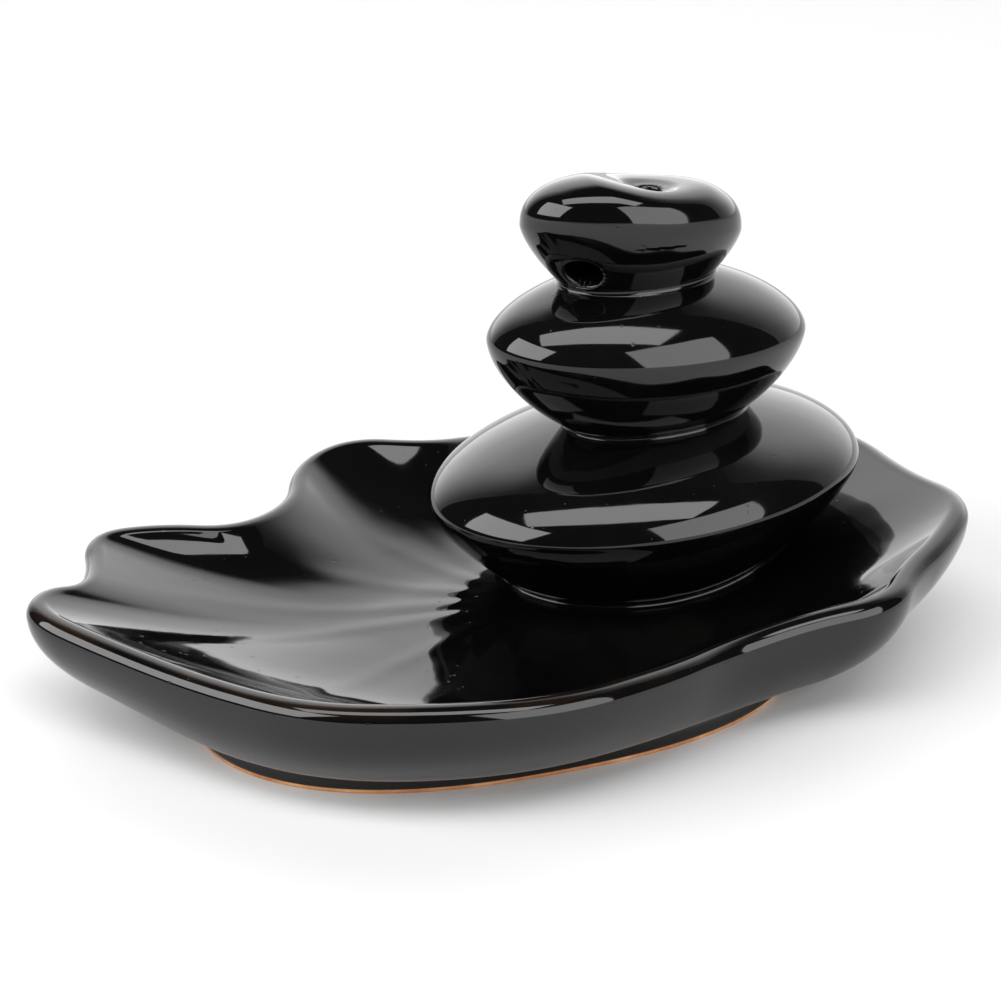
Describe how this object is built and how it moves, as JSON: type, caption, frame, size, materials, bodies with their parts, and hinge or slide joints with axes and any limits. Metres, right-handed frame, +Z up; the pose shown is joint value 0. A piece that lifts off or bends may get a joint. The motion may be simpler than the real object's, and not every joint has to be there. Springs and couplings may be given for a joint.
{
  "type": "backflow incense burner",
  "caption": "Glossy ceramic lotus-leaf dish on a low foot with stacked pebbles; smoke from a cone runs down through the top pebble and spills over the leaf.",
  "frame": {"origin": "on the table under the middle of the burner's bounding box", "axes": "+X along the leaf, from its narrow tip towards the pebbles; +Z up; -Y is the low front edge of the leaf"},
  "size_m": [0.151, 0.1, 0.0778],
  "materials": {
    "black_glaze": "high gloss black glaze",
    "bare_clay": "bare fired clay, matt"
  },
  "bodies": {
    "root": {"leaf_dish": "black_glaze", "foot_ring": "bare_clay", "lower_pebble": "black_glaze", "middle_pebble": "black_glaze", "top_pebble": "black_glaze", "base_seam": "black_glaze", "lower_seam": "black_glaze", "upper_seam": "black_glaze"}
  },
  "joints": []
}
